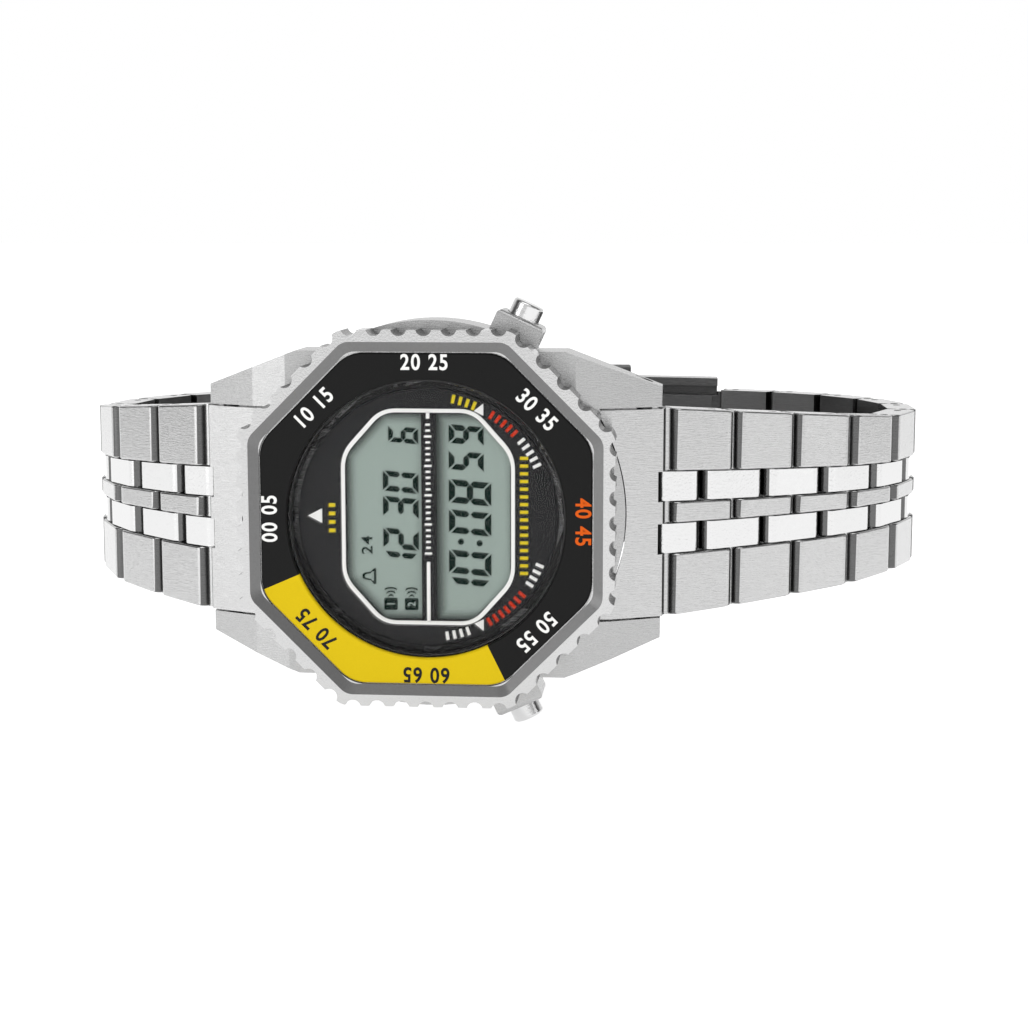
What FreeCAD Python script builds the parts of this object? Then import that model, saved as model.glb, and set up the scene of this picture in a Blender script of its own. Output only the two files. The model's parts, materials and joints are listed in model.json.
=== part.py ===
import FreeCAD, Part
import math
import os

# Digital wristwatch with an eight-position mode bezel and a closed steel bracelet.
# Modelled dial up: x runs from 12 to 6 o'clock, y towards 3 o'clock, z out of the dial,
# and z = 0 on the flat of the case back. The last step stands the watch on its
# 9 o'clock side: row X = x, row Y = -z, row Z = y. All sizes are in millimetres.

# Head: heights above the case back
back_thickness = 1.6
spigot_height = 0.8
case_bottom = 0.9
case_shoulder = 6.9
module_bore_top = 7.5
neck_top = 9.6
insert_top = 10.4
insert_thickness = 0.5
bezel_rim_top = 10.9
crystal_top = 10.55
crystal_thickness = 2.0
dial_thickness = 0.4
lcd_thickness = 1.2
backlight_thickness = 0.4
board_thickness = 0.6
battery_thickness = 1.6

# Head: radii and plan sizes
case_radius = 18.3
module_radius = 13.2
case_back_land = 1.4
crystal_radius = 12.8
crystal_ledge = 0.6
gasket_wall = 0.15
neck_wall = 1.55
bezel_overhang = 1.0
bezel_overlap = 0.35
bezel_rounding = 2.0
insert_rounding = 3.5
bezel_rim_width = 2.3
corner_angle = 24.6
click_groove_offset = 0.6
click_groove_width = 1.4
click_depth = 0.35
bezel_slope = 1.0
notch_radius = 0.75
notch_depth = 0.55
battery_radius = 8.0
clip_reach = 9.0
clip_width = 3.2
clip_thickness = 0.25
window_length = 15.4
window_width = 19.4
window_corner = 3.6

# Lugs and end links
lug_gap = 20.0
lug_thickness = 2.0
lug_overhang = 3.3
lug_root_angle = 50.5
lug_root_overhang = 1.66
lug_shoulder_back = 4.6
lug_flat_back = 9.6
lug_underside_back = 6.6
lug_shoulder_z = 5.9
lug_top_root = 7.4
lug_top_tip = 3.6
lug_bottom_tip = 0.7
spring_bar_inset = 1.7
spring_bar_z = 2.3
spring_bar_radius = 0.75

# Pushers
pusher_angle = 65.0
pusher_height = 4.5
pusher_radius = 1.5
pusher_stem_radius = 0.8
pusher_proud = 1.5
pusher_travel = 0.8
pusher_seat_depth = 1.2
guard_overhang = 2.05
guard_width = 4.7
guard_below = 2.4
guard_above = 2.2
tube_wall = 0.5

# Bracelet
pitch = 6.8
link_thickness = 3.0
width_at_clasp = 16.0
taper_links = 4
centre_share = 0.105
mid_share = 0.145
row_clearance = 0.05
end_gap = 0.18
inner_relief = 0.6
knuckle_radius = 0.72
knuckle_clearance = 0.12
pin_radius = 0.4
running_clearance = 0.03
cross_pin_back = 1.9
mid_sink = 0.15
short_mid = 1.15
mid_rounding = 1.1
link_end_rounding = 0.85
link_side_rounding = 0.2
first_pivot_overhang = 0.35
first_pivot_z = 2.0
end_link_slope = 20.0
end_link_crown = 0.25
mid_end_gap = 0.2
slopes_6 = [27.0, 31.0, 34.0, 50.0, 68.0, 92.0, 110.0, 128.0, 145.0, 160.0]
slopes_12 = [35.0, 41.0, 61.0, 79.5, 97.0, 116.0, 135.0, 148.0, 160.0, 167.0]

# Clasp, in its own frame: x along the chord, z away from the wrist
cover_overhang = 1.3
cover_wall = 0.9
blade_thickness = 0.9
blade_gap = 0.1
blade_side_gap = 1.1
middle_width = 9.0
clasp_bow = 69.0
fold_inset = 4.2
far_inset = 6.0
cover_end_gap = 0.35
bar_radius = 0.45
bar_wall = 0.27
last_link_cutback = 1.0
button_length = 6.0
button_height = 1.5
button_proud = 1.4
button_travel = 0.8

# Clearances
bezel_clearance = 0.06
slide_clearance = 0.05
fit_clearance = 0.1

# Sizes that follow from the ones above
back_radius = module_radius + case_back_land
neck_radius = crystal_radius + gasket_wall + neck_wall
insert_hole_radius = crystal_radius + 2 * fit_clearance
bezel_corner_radius = case_radius + bezel_overhang
insert_corner_radius = bezel_corner_radius - bezel_rim_width
click_groove_inner = neck_radius + click_groove_offset
click_groove_outer = click_groove_inner + click_groove_width
lug_reach = case_radius + lug_overhang
lug_root_x = (case_radius + lug_root_overhang) * math.cos(math.radians(lug_root_angle))
lug_root_y = (case_radius + lug_root_overhang) * math.sin(math.radians(lug_root_angle))
spring_bar_x = lug_reach - spring_bar_inset
first_pivot_x = lug_reach + first_pivot_overhang
guard_reach = case_radius + guard_overhang
width_at_lugs = lug_gap
half_thickness = link_thickness / 2
mid_thickness = link_thickness - 2 * mid_sink
clasp_width = width_at_clasp + 2 * cover_overhang
blade_width = clasp_width - 2 * (cover_wall + blade_side_gap)
# Far enough to pass through any piece
beyond = 60.0

origin = FreeCAD.Vector(0, 0, 0)
axis_x = FreeCAD.Vector(1, 0, 0)
axis_y = FreeCAD.Vector(0, 1, 0)
axis_z = FreeCAD.Vector(0, 0, 1)


def vec(x, y, z):
    return FreeCAD.Vector(x, y, z)


def box(x0, x1, y0, y1, z0, z1):
    return Part.makeBox(x1 - x0, y1 - y0, z1 - z0, vec(x0, y0, z0))


def disc(radius, z0, z1, x=0.0, y=0.0):
    return Part.makeCylinder(radius, z1 - z0, vec(x, y, z0))


def ring(outer, inner, z0, z1):
    return disc(outer, z0, z1).cut(disc(inner, z0, z1))


def rod_y(x, z, radius, y0, y1):
    return Part.makeCylinder(radius, y1 - y0, vec(x, y0, z), axis_y)


def prism_xy(points, z0, z1):
    corners = [vec(x, y, z0) for x, y in points]
    face = Part.Face(Part.makePolygon(corners + corners[:1]))
    return face.extrude(vec(0, 0, z1 - z0))


def prism_xz(points, y0, y1):
    corners = [vec(x, y0, z) for x, z in points]
    face = Part.Face(Part.makePolygon(corners + corners[:1]))
    return face.extrude(vec(0, y1 - y0, 0))


def fuse(shapes):
    return shapes[0].multiFuse(shapes[1:]).removeSplitter()


def turned(shape, axis, degrees, centre=origin):
    copy = shape.copy()
    copy.rotate(centre, axis, degrees)
    return copy


def moved(shape, x, y, z):
    copy = shape.copy()
    copy.translate(vec(x, y, z))
    return copy


def save(name, solids):
    """Stand the pieces on the 9 o'clock side and write them as one node."""
    shape = Part.makeCompound(solids) if isinstance(solids, list) else solids
    turned(shape, axis_x, 90).exportStep("parts/" + name + ".step")


# ---- Head -------------------------------------------------------------------

def octagon(corner_radius):
    """Corners of the bezel outline: longer sides at 12, 3, 6 and 9 o'clock."""
    points = []
    for quarter in range(4):
        for angle in (quarter * 90 - corner_angle, quarter * 90 + corner_angle):
            turn = math.radians(angle)
            points.append((corner_radius * math.cos(turn), corner_radius * math.sin(turn)))
    return points


def round_upright_edges(shape, radius):
    upright = []
    for edge in shape.Edges:
        start, end = edge.Vertexes[0].Point, edge.Vertexes[-1].Point
        if abs(start.x - end.x) < 1e-6 and abs(start.y - end.y) < 1e-6:
            if abs(start.z - end.z) > 1e-6:
                upright.append(edge)
    return shape.makeFillet(radius, upright)


def side_notches(outline, counts):
    """Half-round flutes along each side of the outline, evenly spaced."""
    cutters = []
    for index, start in enumerate(outline):
        end = outline[(index + 1) % len(outline)]
        count = counts[index % 2]
        length = math.hypot(end[0] - start[0], end[1] - start[1])
        along = ((end[0] - start[0]) / length, (end[1] - start[1]) / length)
        outward = (along[1], -along[0])
        reach = notch_radius - notch_depth
        for step in range(count):
            share = (step + 0.5) / count
            x = start[0] + along[0] * length * share + outward[0] * reach
            y = start[1] + along[1] * length * share + outward[1] * reach
            cutters.append(disc(notch_radius, case_shoulder, bezel_rim_top + 1, x, y))
    return cutters


def cone_between(low_points, low_z, high_points, high_z):
    """Solid between two like outlines at two heights."""
    wires = []
    for points, z in ((low_points, low_z), (high_points, high_z)):
        corners = [vec(x, y, z) for x, y in points]
        wires.append(Part.makePolygon(corners + corners[:1]))
    return Part.makeLoft(wires, True, True)


def make_bezel_ring():
    bottom = case_shoulder + fit_clearance
    body = prism_xy(octagon(bezel_corner_radius), bottom, bezel_rim_top)
    body = round_upright_edges(body, bezel_rounding)
    body = body.cut(Part.makeCompound(side_notches(octagon(bezel_corner_radius), (7, 5))))
    body = body.cut(disc(neck_radius + bezel_clearance, bottom - 1, bezel_rim_top + 1))
    seat = insert_top - insert_thickness
    recess_radius = insert_corner_radius + fit_clearance
    recess = round_upright_edges(prism_xy(octagon(recess_radius), seat, bezel_rim_top + 1), insert_rounding)
    rim_radius = recess_radius + bezel_slope
    slope = cone_between(octagon(recess_radius), insert_top, octagon(rim_radius), bezel_rim_top)
    slanted = [edge for edge in slope.Edges if edge.BoundBox.ZLength > fit_clearance]
    return body.cut(recess).cut(slope.makeFillet(insert_rounding, slanted))


def make_bezel_insert():
    plate = prism_xy(octagon(insert_corner_radius), insert_top - insert_thickness, insert_top)
    plate = round_upright_edges(plate, insert_rounding)
    return plate.cut(disc(insert_hole_radius, insert_top - 1, insert_top + 1))


def make_click_spring():
    spring = ring(click_groove_outer - fit_clearance, click_groove_inner + fit_clearance,
                  case_shoulder - click_depth, case_shoulder - fit_clearance)
    for step in range(3):
        slot = box(neck_radius, case_radius, -0.15, 0.15, case_shoulder - 1, case_shoulder)
        spring = spring.cut(turned(slot, axis_z, 30 + 120 * step))
    return spring


def lug_block():
    """The four lugs as one crosswise block, sloped on top and drawn in at the tips."""
    tip_y = lug_gap / 2 + lug_thickness
    plan = [(lug_reach, -tip_y), (lug_reach, tip_y), (lug_root_x, lug_root_y),
            (-lug_root_x, lug_root_y), (-lug_reach, tip_y), (-lug_reach, -tip_y),
            (-lug_root_x, -lug_root_y), (lug_root_x, -lug_root_y)]
    under, shoulder = lug_reach - lug_underside_back, lug_reach - lug_shoulder_back
    flat = lug_reach - lug_flat_back
    side = [(-lug_reach, lug_bottom_tip), (-under, case_bottom), (under, case_bottom),
            (lug_reach, lug_bottom_tip), (lug_reach, lug_top_tip), (shoulder, lug_shoulder_z),
            (flat, lug_top_root), (-flat, lug_top_root), (-shoulder, lug_shoulder_z),
            (-lug_reach, lug_top_tip)]
    block = prism_xy(plan, -1, lug_top_root + 1).common(prism_xz(side, -beyond, beyond))
    gap = lug_gap / 2 + fit_clearance
    slots = [box(under, beyond, -gap, gap, -2, beyond), box(-beyond, -under, -gap, gap, -2, beyond)]
    return block.cut(Part.makeCompound(slots))


def pusher_frame(shape, side):
    """Turn a piece built along +x to the pusher's direction; side is +1 or -1."""
    return turned(moved(shape, 0, 0, pusher_height), axis_z, side * pusher_angle)


def rod_x(radius, x0, x1):
    return Part.makeCylinder(radius, x1 - x0, vec(x0, 0, 0), axis_x)


def above_lugs():
    """Space over the lugs' slope and outside the bezel, where the round case is cut flush with the lugs."""
    slope = [(lug_reach - lug_flat_back, lug_top_root), (lug_reach - lug_shoulder_back, lug_shoulder_z),
             (lug_reach, lug_top_tip), (lug_reach, neck_top), (lug_reach - lug_flat_back, neck_top)]
    mirrored = [(-x, z) for x, z in slope]
    both = fuse([prism_xz(slope, -beyond, beyond), prism_xz(mirrored, -beyond, beyond)])
    return both.cut(prism_xy(octagon(bezel_corner_radius - bezel_overlap), -1, beyond))


def make_case_middle():
    body = fuse([lug_block(), disc(case_radius, case_bottom, case_shoulder).cut(above_lugs()),
                 disc(neck_radius, case_shoulder - 0.5, neck_top)])
    guards = []
    for side in (1, -1):
        guard = box(neck_radius, guard_reach, -guard_width / 2, guard_width / 2, -guard_below, guard_above)
        guards.append(pusher_frame(round_guard(guard), side))
    body = fuse([body] + guards)
    above_shoulder = ring(beyond, neck_radius, case_shoulder, neck_top + 1)
    body = body.cut(above_shoulder)
    bar_hole = spring_bar_radius + fit_clearance
    cuts = [disc(module_radius + fit_clearance, -1, module_bore_top),
            disc(back_radius + fit_clearance, -1, back_thickness),
            disc(crystal_radius - crystal_ledge, case_shoulder, neck_top + 1),
            disc(crystal_radius + gasket_wall, crystal_top - crystal_thickness, neck_top + 1),
            ring(click_groove_outer, click_groove_inner, case_shoulder - click_depth, case_shoulder + 1),
            rod_y(spring_bar_x, spring_bar_z, bar_hole, -beyond, beyond),
            rod_y(-spring_bar_x, spring_bar_z, bar_hole, -beyond, beyond)]
    tube_radius = pusher_stem_radius + tube_wall
    for side in (1, -1):
        cuts.append(pusher_frame(rod_x(tube_radius, module_radius - 2, beyond), side))
        seat = rod_x(pusher_radius + fit_clearance, guard_reach - pusher_seat_depth, beyond)
        cuts.append(pusher_frame(seat, side))
    return body.cut(Part.makeCompound(cuts))


def round_guard(block):
    edges = []
    for edge in block.Edges:
        box_of = edge.BoundBox
        if box_of.XLength < 1e-6 and box_of.XMin > guard_reach - 1e-3:
            edges.append(edge)
    return block.makeFillet(0.5, edges)


def make_case_back():
    plate = disc(back_radius, 0, back_thickness)
    spigot = disc(module_radius - 0.9, back_thickness, back_thickness + spigot_height)
    hollow = disc(module_radius - 1.8, back_thickness - 0.4, back_thickness + spigot_height)
    back = fuse([plate, spigot]).cut(hollow)
    for step in range(6):
        notch = box(back_radius - 1.6, back_radius + 1, -1.2, 1.2, -1, 0.5)
        back = back.cut(turned(notch, axis_z, 60 * step))
    return back


def window_outline(inset):
    """The display opening: a rectangle with its corners cut off."""
    half_x = window_length / 2 - inset
    half_y = window_width / 2 - inset
    cut = window_corner - inset * 0.6
    return [(half_x, -half_y + cut), (half_x, half_y - cut), (half_x - cut, half_y),
            (-half_x + cut, half_y), (-half_x, half_y - cut), (-half_x, -half_y + cut),
            (-half_x + cut, -half_y), (half_x - cut, -half_y)]


dial_top = crystal_top - crystal_thickness - 0.1
dial_bottom = dial_top - dial_thickness
lcd_bottom = dial_bottom - lcd_thickness
backlight_bottom = lcd_bottom - backlight_thickness
board_top = backlight_bottom - 0.5
board_bottom = board_top - board_thickness
battery_bottom = board_bottom - battery_thickness


def make_dial_mask():
    plate = disc(crystal_radius - crystal_ledge - fit_clearance, dial_bottom, dial_top)
    return plate.cut(prism_xy(window_outline(0), dial_bottom - 1, dial_top + 1))


def make_lcd_panel():
    return prism_xy(window_outline(-0.5), lcd_bottom, dial_bottom)


def make_backlight():
    return prism_xy(window_outline(-0.4), backlight_bottom, lcd_bottom)


def make_module_frame():
    low = back_thickness + spigot_height + fit_clearance
    top = module_bore_top - fit_clearance
    body = disc(module_radius, low, top)
    pocket = prism_xy(window_outline(-0.6), board_top - 0.1, top + 1)
    strips = box(-9.4, 9.4, -4.6, 4.6, board_top - 0.1, top + 1)
    board = disc(module_radius - 1.0, board_bottom - fit_clearance, board_top + 0.1)
    battery = disc(battery_radius + fit_clearance, low - 1, board_bottom + 0.2)
    clip = box(-clip_reach - fit_clearance, clip_reach + fit_clearance, -clip_width / 2 - fit_clearance,
               clip_width / 2 + fit_clearance, low - 1, battery_bottom + 0.2)
    body = body.cut(Part.makeCompound([pocket, strips, board, battery, clip]))
    for side in (1, -1):
        tube_path = rod_x(pusher_stem_radius + tube_wall, module_radius - 2.7, beyond)
        body = body.cut(pusher_frame(tube_path, side))
    return body


def make_lcd_connectors():
    strips = []
    for side in (1, -1):
        inner = side * (window_length / 2 + 0.7)
        outer = side * (window_length / 2 + 1.5)
        low, high = min(inner, outer), max(inner, outer)
        strips.append(box(low, high, -4.4, 4.4, board_top, lcd_bottom + 0.6))
    return strips


def make_circuit_board():
    board = disc(module_radius - 1.1, board_bottom, board_top)
    chip = box(-2.5, 2.5, -2.5, 2.5, board_top, board_top + 0.4)
    crystal_can = box(4.0, 6.5, -1.0, 1.0, board_top, board_top + 0.4)
    return fuse([board, chip, crystal_can])


def make_battery():
    can = disc(battery_radius, battery_bottom, board_bottom)
    cut = ring(battery_radius + 1, battery_radius - 0.35, board_bottom - 0.35, board_bottom + 1)
    return can.cut(cut)


def make_battery_clip():
    half = clip_width / 2
    return box(-clip_reach, clip_reach, -half, half, battery_bottom - clip_thickness, battery_bottom)


def make_pusher(side):
    inner_end = guard_reach - pusher_seat_depth + pusher_travel + fit_clearance
    head = rod_x(pusher_radius, inner_end, guard_reach + pusher_proud)
    rim = [edge for edge in head.Edges if edge.BoundBox.XMin > guard_reach + pusher_proud - 1e-3]
    head = head.makeFillet(0.3, rim)
    stem = rod_x(pusher_stem_radius, module_radius + 0.4, guard_reach)
    return pusher_frame(fuse([head, stem]), side)


def make_pusher_tube(side):
    outer = rod_x(pusher_stem_radius + tube_wall, module_radius + 1.0, guard_reach - pusher_seat_depth)
    bore = rod_x(pusher_stem_radius + slide_clearance, module_radius, guard_reach)
    return pusher_frame(outer.cut(bore), side)


def make_spring_bars():
    bars = []
    reach = lug_gap / 2 + lug_thickness - 0.6
    for sign in (1, -1):
        body = rod_y(sign * spring_bar_x, spring_bar_z, spring_bar_radius, -reach, reach)
        bars.append(body)
    return bars


# ---- Bracelet ---------------------------------------------------------------

mid_reach = pitch / 2 - 0.12
link_count = len(slopes_6)


def width_at(pivot):
    """Bracelet width at a pivot: it narrows over the first links, then stays."""
    share = min(pivot / taper_links, 1.0)
    return width_at_lugs + (width_at_clasp - width_at_lugs) * share


def pivots(slopes):
    """Places of the pivots in the x-z plane of the 6 o'clock side."""
    places = [(first_pivot_x, first_pivot_z)]
    for slope in slopes:
        x, z = places[-1]
        turn = math.radians(slope)
        places.append((x + pitch * math.cos(turn), z - pitch * math.sin(turn)))
    return places


def round_top(shape, end_radius, side_radius, top):
    """Round the two crosswise top edges, then the two lengthwise ones."""
    ends = [edge for edge in shape.Edges if edge.BoundBox.ZMin > top - 1e-3
            and edge.BoundBox.YLength > edge.BoundBox.XLength]
    shape = shape.makeFillet(end_radius, ends)
    sides = [edge for edge in shape.Edges if edge.BoundBox.ZMin > top - 1e-3
             and edge.BoundBox.XLength > edge.BoundBox.YLength]
    return shape.makeFillet(side_radius, sides)


def row_plan(stations, low_share, high_share):
    """Plan of a lengthwise row between two shares of the width at each station."""
    low = [(x, low_share * width + row_clearance) for x, width in stations]
    high = [(x, high_share * width - row_clearance) for x, width in stations]
    return prism_xy(low + high[::-1], -3, 3)


def link_side():
    """Side outline of a brushed piece: full height outside, cut back inside."""
    start = end_gap / 2
    end = pitch - end_gap / 2
    return [(start, half_thickness), (end, half_thickness), (end, -0.2),
            (end - inner_relief, -half_thickness), (start + inner_relief, -half_thickness),
            (start, -0.2)]


def brushed_rows(index):
    """The two outer pieces and the centre piece, with knuckles on the first pin."""
    near, far = width_at(index), width_at(index + 1)
    centre = centre_share / 2
    inner = centre + mid_share
    stations = [(-1.0, near), (0.0, near), (pitch, far), (pitch + 1.0, far)]
    rows = []
    for low, high in ((inner, 0.5), (-centre, centre), (-0.5, -inner)):
        plan = row_plan(stations, low, high)
        piece = prism_xz(link_side(), -beyond, beyond).common(plan)
        piece = round_top(piece, link_end_rounding, link_side_rounding, half_thickness)
        knuckle = rod_y(0, 0, knuckle_radius, -beyond, beyond).common(plan)
        piece = piece.cut(rod_y(pitch, 0, knuckle_radius + knuckle_clearance, -beyond, beyond))
        piece = fuse([piece, knuckle])
        piece = piece.cut(rod_y(0, 0, pin_radius + running_clearance, -beyond, beyond))
        rows.append(piece.cut(rod_y(pitch - cross_pin_back, 0, pin_radius, -beyond, beyond)))
    return rows


def mid_rows(width):
    """Edges of the two polished rows where the bracelet is this wide."""
    centre = centre_share / 2 * width
    inner = centre + mid_share * width
    return (centre, inner), (-inner, -centre)


def polished_mids(index, bend, back=mid_reach, reach=mid_reach):
    """Two polished pieces over the last pin, lying halfway between the two links."""
    near = width_at(max(index, 0))
    here = width_at(index + 1)
    far = width_at(index + 2)
    start_width = here + (near - here) * back / pitch
    end_width = here + (far - here) * reach / pitch
    half = mid_thickness / 2
    side = [(pitch - back, half), (pitch + reach, half), (pitch + reach, -half), (pitch - back, -half)]
    dip = cross_pin_back * math.sin(math.radians(bend / 2))
    centre = centre_share / 2
    inner = centre + mid_share
    stations = [(pitch - back, start_width), (pitch, here), (pitch + reach, end_width)]
    pieces = []
    for low, high in ((centre, inner), (-inner, -centre)):
        piece = prism_xz(side, -beyond, beyond).common(row_plan(stations, low, high))
        ends = [edge for edge in piece.Edges if edge.BoundBox.XLength < 1e-6
                and edge.BoundBox.ZLength < 1e-6 and edge.BoundBox.YLength > 0.5
                and abs(edge.BoundBox.XMin - pitch) > 0.1]
        piece = piece.makeFillet(mid_rounding, ends)
        piece = turned(moved(piece, 0, 0, -dip), axis_y, bend / 2, vec(pitch, 0, 0))
        piece = piece.cut(rod_y(pitch, 0, pin_radius, -beyond, beyond))
        pieces.append(piece.cut(rod_y(pitch - cross_pin_back, 0, pin_radius, -beyond, beyond)))
    return pieces


def hinge_pin(index):
    reach = width_at(index + 1) / 2 - 0.3
    return rod_y(pitch, 0, pin_radius, -reach, reach)


def cross_pin(index):
    reach = width_at(index + 1) / 2 - 0.6
    return rod_y(pitch - cross_pin_back, 0, pin_radius, -reach, reach)


def make_link(index, bend, reach):
    pieces = brushed_rows(index) + polished_mids(index, bend, reach=reach)
    return pieces + [hinge_pin(index), cross_pin(index)]


def open_ended(link):
    """The last 12 o'clock link stops short of the clasp's spring bar, with no pin of its own."""
    cutaway = box(pitch - last_link_cutback, pitch + 4, -beyond, beyond, -4, 4)
    return [piece.cut(cutaway) for piece in link[:3]] + link[6:]


def place(pieces, pivot, slope, to_12):
    placed = []
    for piece in pieces:
        piece = moved(turned(piece, axis_y, slope), pivot[0], 0, pivot[1])
        placed.append(turned(piece, axis_z, 180) if to_12 else piece)
    return placed


def make_end_link(bend, to_12):
    """Solid piece between the lugs that carries the first hinge pin."""
    reach_y = lug_gap / 2 - fit_clearance
    face = first_pivot_x - end_gap / 2
    top = first_pivot_z + half_thickness + end_link_crown
    root = lug_reach - lug_shoulder_back
    side = [(root - 1, lug_shoulder_z + 0.1), (root, lug_shoulder_z), (face - 0.1, top), (face, top - 0.3),
            (face, first_pivot_z - 0.1), (face - 0.8, first_pivot_z - half_thickness + 0.1),
            (root - 1, case_bottom)]
    body = prism_xz(side, -reach_y, reach_y)
    body = body.cut(disc(case_radius + fit_clearance, -2, beyond))
    body = body.cut(rod_y(first_pivot_x, first_pivot_z, knuckle_radius + knuckle_clearance, -beyond, beyond))
    body = body.cut(rod_y(spring_bar_x, spring_bar_z, spring_bar_radius + fit_clearance / 2, -beyond, beyond))
    swing = end_link_slope
    for low, high in mid_rows(width_at_lugs):
        notch = box(-short_mid - mid_end_gap, beyond, low, high, -half_thickness - mid_end_gap, beyond)
        notch = turned(notch, axis_y, swing + bend / 2)
        body = body.cut(moved(notch, first_pivot_x, 0, first_pivot_z))
    local = polished_mids(-1, bend, back=short_mid) + [hinge_pin(-1)]
    local = [moved(piece, -pitch, 0, 0) for piece in local]
    placed = [moved(turned(piece, axis_y, swing), first_pivot_x, 0, first_pivot_z) for piece in local]
    solids = [body] + placed
    return [turned(piece, axis_z, 180) if to_12 else piece for piece in solids]


# ---- Clasp ------------------------------------------------------------------

start_6 = pivots(slopes_6)[-1]
end_12 = pivots(slopes_12)[-1]
clasp_vector = (-end_12[0] - start_6[0], end_12[1] - start_6[1])
clasp_chord = math.hypot(clasp_vector[0], clasp_vector[1])
clasp_slope = math.degrees(math.atan2(-clasp_vector[1], clasp_vector[0])) % 360


def bow_height(x):
    """Height of the bowed clasp line above its chord."""
    half = clasp_chord / 2
    drop = clasp_bow - math.sqrt(clasp_bow ** 2 - half ** 2)
    return math.sqrt(clasp_bow ** 2 - (x - half) ** 2) - clasp_bow + drop


def bowed_plate(x0, x1, low, high, width):
    """A plate of even thickness that follows the bow, between two heights."""
    half = clasp_chord / 2
    drop = clasp_bow - math.sqrt(clasp_bow ** 2 - half ** 2)
    centre = vec(half, -width / 2, drop - clasp_bow)
    shell = Part.makeCylinder(clasp_bow + high, width, centre, axis_y)
    shell = shell.cut(Part.makeCylinder(clasp_bow + low, width, centre, axis_y))
    return shell.common(box(x0, x1, -width / 2, width / 2, -10, 20))


inner_low = -half_thickness + 0.2
inner_high = inner_low + blade_thickness
middle_low = inner_high + blade_gap
middle_high = middle_low + blade_thickness
cover_low = middle_high + blade_gap
cover_high = cover_low + cover_wall
near_fold_x = fold_inset
far_fold_x = clasp_chord - far_inset
far_fold_z = bow_height(far_fold_x) + (inner_high + middle_low) / 2
near_fold_z = bow_height(near_fold_x) + (middle_high + cover_low) / 2
fold_radius = 0.85
fold_pin_radius = 0.4


def make_inner_blade():
    blade = bowed_plate(1.0, far_fold_x, inner_low, inner_high, blade_width)
    blade = blade.cut(rod_y(far_fold_x, far_fold_z, fold_radius + fit_clearance, -beyond, beyond))
    root = rod_y(0, 0, knuckle_radius, -blade_width / 2, blade_width / 2)
    neck = box(0, 1.6, -blade_width / 2, blade_width / 2, -knuckle_radius, inner_high)
    mids_room = centre_share / 2 + mid_share
    room = mids_room * width_at_clasp + row_clearance
    blade = fuse([blade, root, neck])
    blade = blade.cut(box(-2, pitch / 2 + 0.1, -room, room, -5, 5))
    ears = []
    for sign in (1, -1):
        low, high = sorted((sign * (middle_width / 2 + fit_clearance), sign * blade_width / 2))
        ear = rod_y(far_fold_x, far_fold_z, fold_radius, low, high)
        ears.append(ear)
    blade = fuse([blade] + ears)
    blade = blade.cut(rod_y(near_fold_x, near_fold_z, fold_radius + fit_clearance, -beyond, beyond))
    blade = blade.cut(rod_y(0, 0, pin_radius + running_clearance, -beyond, beyond))
    return blade.cut(rod_y(far_fold_x, far_fold_z, fold_pin_radius, -beyond, beyond))


def make_middle_blade():
    blade = bowed_plate(near_fold_x, far_fold_x, middle_low, middle_high, middle_width)
    near = rod_y(near_fold_x, near_fold_z, fold_radius, -middle_width / 2, middle_width / 2)
    far = rod_y(far_fold_x, far_fold_z, fold_radius, -middle_width / 2, middle_width / 2)
    blade = fuse([blade, near, far])
    near_bore = rod_y(near_fold_x, near_fold_z, fold_pin_radius, -beyond, beyond)
    far_bore = rod_y(far_fold_x, far_fold_z, fold_pin_radius + running_clearance, -beyond, beyond)
    return blade.cut(near_bore).cut(far_bore)


button_x = clasp_chord * 0.36
button_z = bow_height(button_x) + (inner_low + cover_low) / 2 + 0.05


def button_block(grown, low, high):
    """A block along the bow at the side button, grown all round by a clearance."""
    long_half = button_length / 2 + grown
    tall_half = button_height / 2 + grown
    block = box(button_x - long_half, button_x + long_half, low, high,
                button_z - tall_half, button_z + tall_half)
    tilt = math.degrees(math.asin((clasp_chord / 2 - button_x) / clasp_bow))
    return turned(block, axis_y, -tilt, vec(button_x, 0, button_z))


def make_clasp_cover():
    """Outer shell of the clasp, with the barrel of the spring bar at its far end."""
    half = clasp_width / 2
    start, end = cover_end_gap, clasp_chord - cover_end_gap
    skin = bowed_plate(start, end, cover_low, cover_high, clasp_width)
    flange = bowed_plate(start, end, inner_low, cover_high, clasp_width)
    flange = flange.cut(box(-2, clasp_chord + 3, -half + cover_wall, half - cover_wall, -10, 20))
    ears = []
    for sign in (1, -1):
        low, high = sorted((sign * (middle_width / 2 + fit_clearance), sign * (middle_width / 2 + 1.6)))
        ears.append(rod_y(near_fold_x, near_fold_z, fold_radius, low, high))
    bar_half = width_at_clasp / 2
    barrel = rod_y(clasp_chord, 0, bar_radius + bar_wall, -bar_half, bar_half)
    web = box(clasp_chord - 1.6, clasp_chord, -bar_half, bar_half, 0, cover_high - 0.5)
    web = web.common(bowed_plate(0, clasp_chord, -1, cover_high, clasp_width))
    cover = fuse([skin, flange, barrel, web] + ears)
    slots = []
    for sign in (1, -1):
        low, high = sorted((sign * (half - cover_wall - 0.1), sign * (half + 1)))
        slots.append(button_block(slide_clearance, low, high))
    for low, high in mid_rows(width_at_clasp):
        slots.append(box(-1, short_mid + 0.8, low - fit_clearance, high + fit_clearance, -4, 4))
    reach = middle_width / 2 + fit_clearance
    swing = rod_y(near_fold_x, near_fold_z, fold_radius + fit_clearance, -reach, reach)
    bore = rod_y(near_fold_x, near_fold_z, fold_pin_radius + running_clearance, -reach - 1.7, reach + 1.7)
    bar_bore = rod_y(clasp_chord, 0, bar_radius, -beyond, beyond)
    return cover.cut(Part.makeCompound(slots)).cut(swing).cut(bore).cut(bar_bore)


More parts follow.
